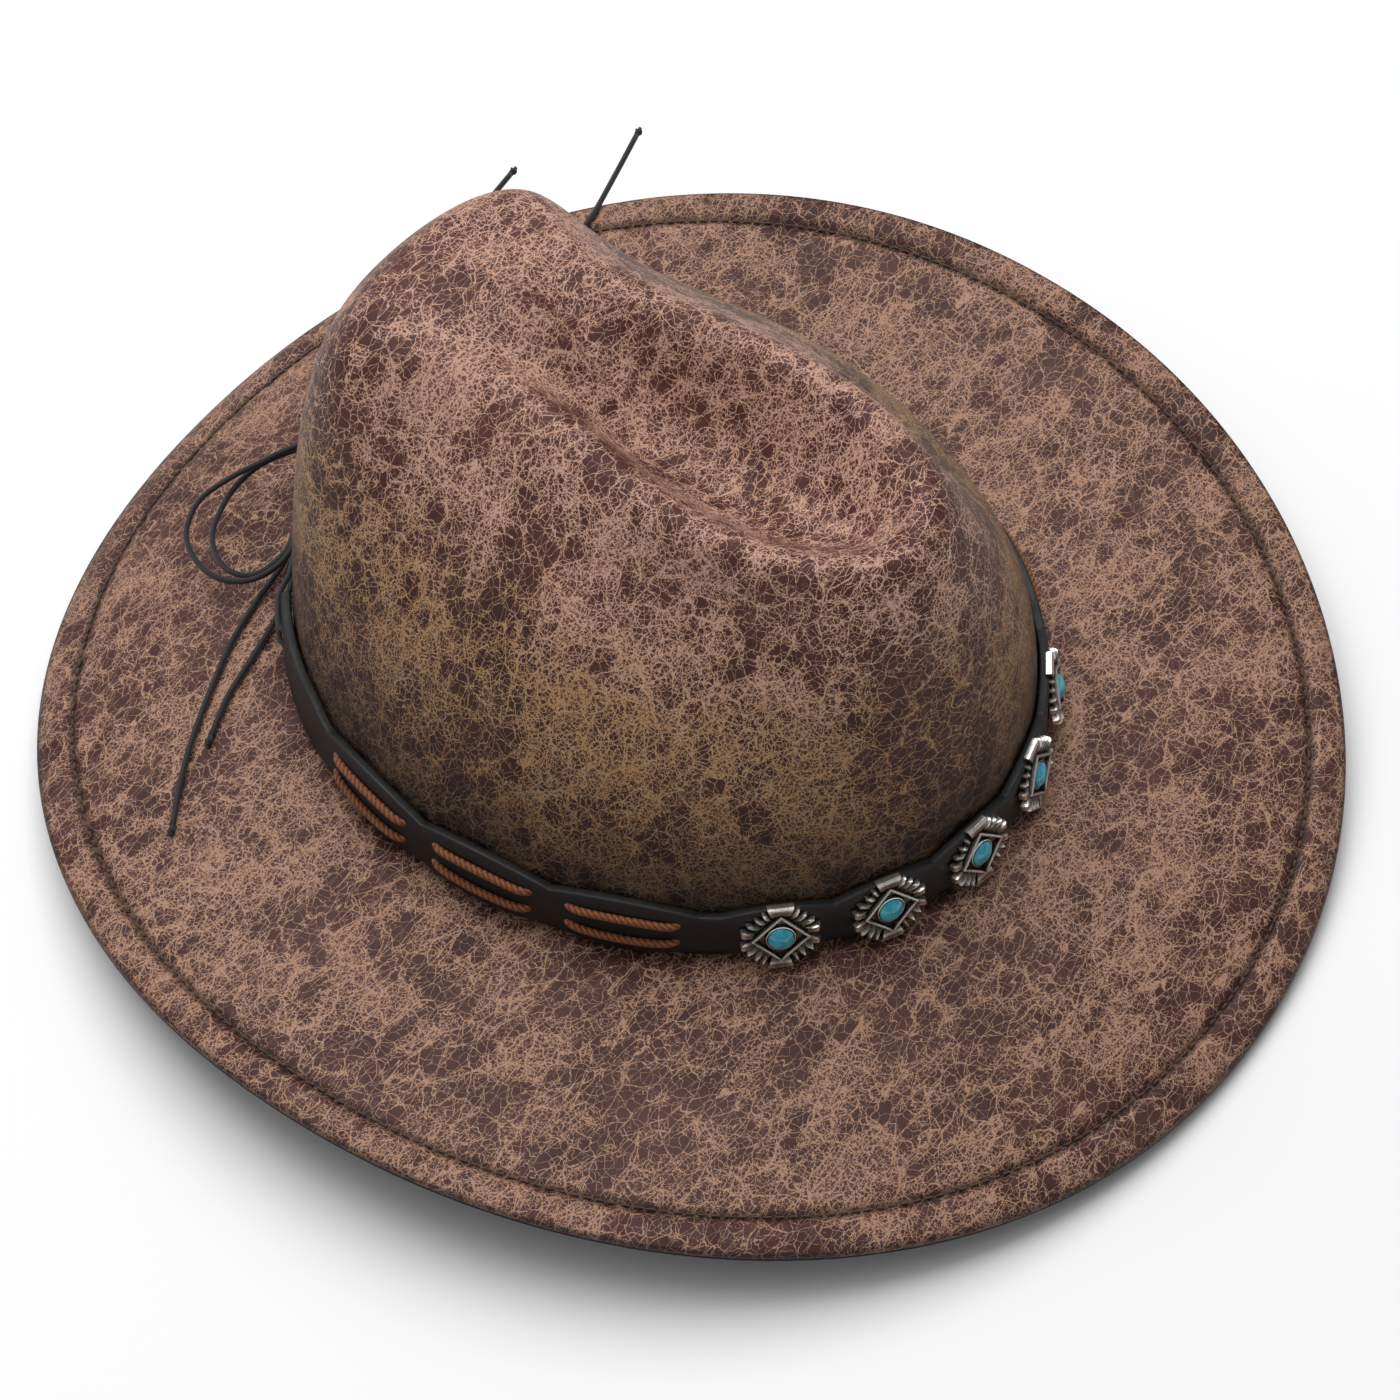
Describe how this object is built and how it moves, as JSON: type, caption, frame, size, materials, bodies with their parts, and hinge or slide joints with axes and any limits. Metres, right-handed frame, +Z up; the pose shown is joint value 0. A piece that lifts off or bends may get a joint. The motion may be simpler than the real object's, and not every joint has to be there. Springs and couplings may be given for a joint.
{
  "type": "cowboy hat",
  "caption": "Pinch-front cowboy hat in distressed faux leather, with a wide curved brim and a removable laced leather hatband with turquoise conchos and a tie cord.",
  "frame": {"origin": "under the middle of the brim's outline, level with the brim's lowest point, which is at the back edge", "axes": "+Z up, -Y towards the front of the hat, -X towards the wearer's right"},
  "size_m": [0.33, 0.346, 0.1357],
  "materials": {
    "leather_brown": "distressed faux leather with tan crackle, semi-matt",
    "lining": "dark woven lining",
    "core": "pressed felt stiffener",
    "underside": "dark grey woven underside",
    "wire": "spring steel wire",
    "thread": "waxed brown thread",
    "sweatband": "black grosgrain",
    "strap": "black leather, smooth with cut edges",
    "lace": "orange-brown leather lace, twisted",
    "silver": "antique silver casting, dark in the recesses",
    "turquoise": "polished blue-green cabochon",
    "cord": "black waxed cotton cord"
  },
  "bodies": {
    "hat": {"crown_shell": "leather_brown", "crown_lining": "lining", "brim_top": "leather_brown", "brim_core": "core", "brim_underside": "underside", "brim_wire": "wire", "hem_stitches": "thread", "sweatband": "sweatband", "sweatband_stitches": "thread"},
    "hatband": {"hatband_strap": "strap", "lace_right": "lace", "lace_left": "lace", "concho_1": "silver", "concho_2": "silver", "concho_3": "silver", "concho_4": "silver", "concho_5": "silver", "turquoise_1": "turquoise", "turquoise_2": "turquoise", "turquoise_3": "turquoise", "turquoise_4": "turquoise", "turquoise_5": "turquoise", "concho_rivets": "silver", "strands_right": "cord", "strands_left": "cord", "bow_knot": "cord", "loop_right_outer": "cord", "loop_right_inner": "cord", "loop_left_outer": "cord", "loop_left_inner": "cord", "tail_right_long": "cord", "tail_right_short": "cord", "tail_left_long": "cord", "tail_left_short": "cord", "tip_right_long": "cord", "tip_right_short": "cord", "tip_left_long": "cord", "tip_left_short": "cord"}
  },
  "joints": [
    {"name": "hatband_lift", "type": "slide", "parent": "hat", "child": "hatband", "axis": [0, 0, 1], "range_m": [0, 0.13]}
  ]
}
